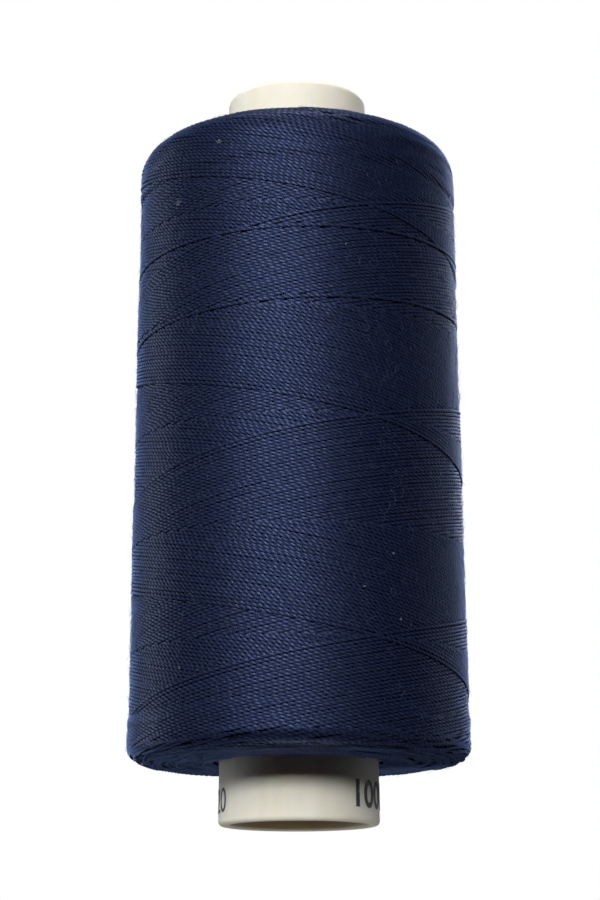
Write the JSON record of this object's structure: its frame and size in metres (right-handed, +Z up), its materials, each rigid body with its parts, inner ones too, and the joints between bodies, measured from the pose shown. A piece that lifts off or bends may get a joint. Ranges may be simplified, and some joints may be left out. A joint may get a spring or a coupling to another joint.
{
  "type": "spool of sewing thread",
  "caption": "Cross-wound navy sewing thread on a plain cream hollow plastic tube that shows at both ends, standing on its rim.",
  "frame": {"origin": "centre of the tube's lower rim, the plane that the spool stands on", "axes": "+Z up along the tube's axis, from its wider foot to its narrower top; +X to the right and +Y away from the viewer in the reference view"},
  "size_m": [0.0356, 0.0356, 0.08],
  "materials": {
    "tube_plastic": "satin cream moulded polypropylene, slightly translucent",
    "thread": "matt navy two-ply spun polyester sewing thread"
  },
  "bodies": {
    "root": {"spool_tube": "tube_plastic", "thread_winding": "thread"}
  },
  "joints": []
}
